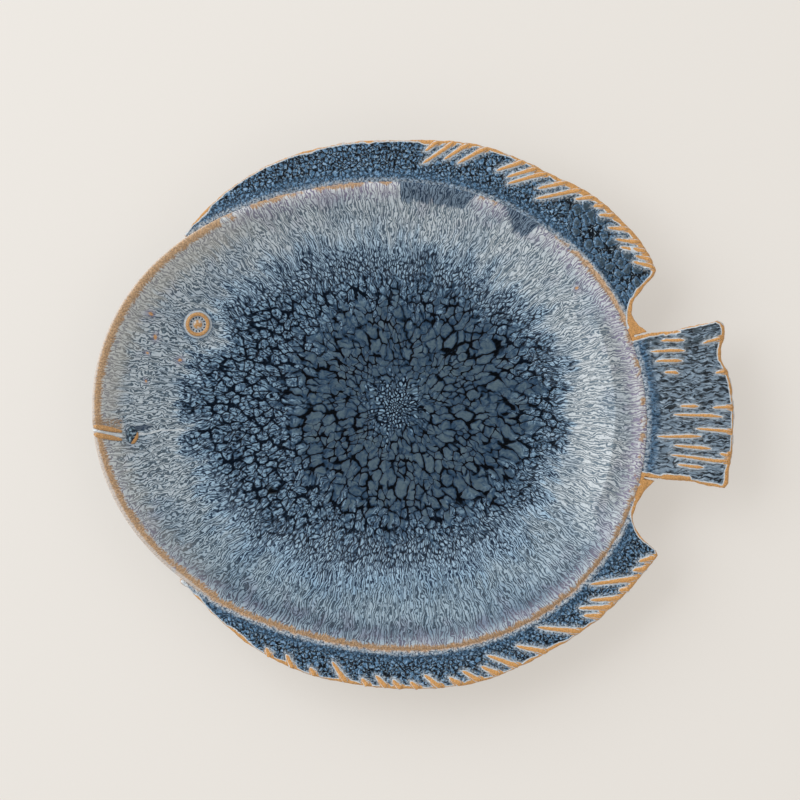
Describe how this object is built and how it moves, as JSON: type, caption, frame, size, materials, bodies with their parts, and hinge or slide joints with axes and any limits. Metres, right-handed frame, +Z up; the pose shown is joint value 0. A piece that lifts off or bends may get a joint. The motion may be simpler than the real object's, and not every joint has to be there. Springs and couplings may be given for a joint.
{
  "type": "fish shaped platter",
  "caption": "Shallow oval stoneware serving platter shaped as a flatfish, with luted fin and tail slabs, raised fin rays, an eye, a mouth and glass pooled in its well, on a foot ring.",
  "frame": {"origin": "on the table under the middle of the platter's bounding box", "axes": "+X from the head to the tail, +Y from the belly fin to the back fin, +Z up"},
  "size_m": [0.329, 0.2818, 0.0338],
  "materials": {
    "dish_glaze": "glossy pale blue reactive glaze with fine streaks running to the middle",
    "fin_glaze": "glossy mottled cobalt glaze, thin and tan along the edge",
    "ridge_glaze": "glossy glaze broken thin to tan over a ridge",
    "pellet_glaze": "glossy dark slate blue glaze with a tan edge",
    "pool_glass": "thick glossy slate blue glass, crawled into cells with dark cracks",
    "bare_clay": "matt bare tan stoneware"
  },
  "bodies": {
    "root": {"dish": "dish_glaze", "foot_ring": "bare_clay", "dorsal_fin": "fin_glaze", "dorsal_fin_rays": "ridge_glaze", "ventral_fin": "fin_glaze", "ventral_fin_rays": "ridge_glaze", "tail_fin": "fin_glaze", "tail_fin_rays": "ridge_glaze", "eye_ring": "ridge_glaze", "eye_pupil": "ridge_glaze", "upper_lip": "ridge_glaze", "lower_lip": "ridge_glaze", "mouth_pellet": "pellet_glaze", "glaze_pool": "pool_glass"}
  },
  "joints": []
}
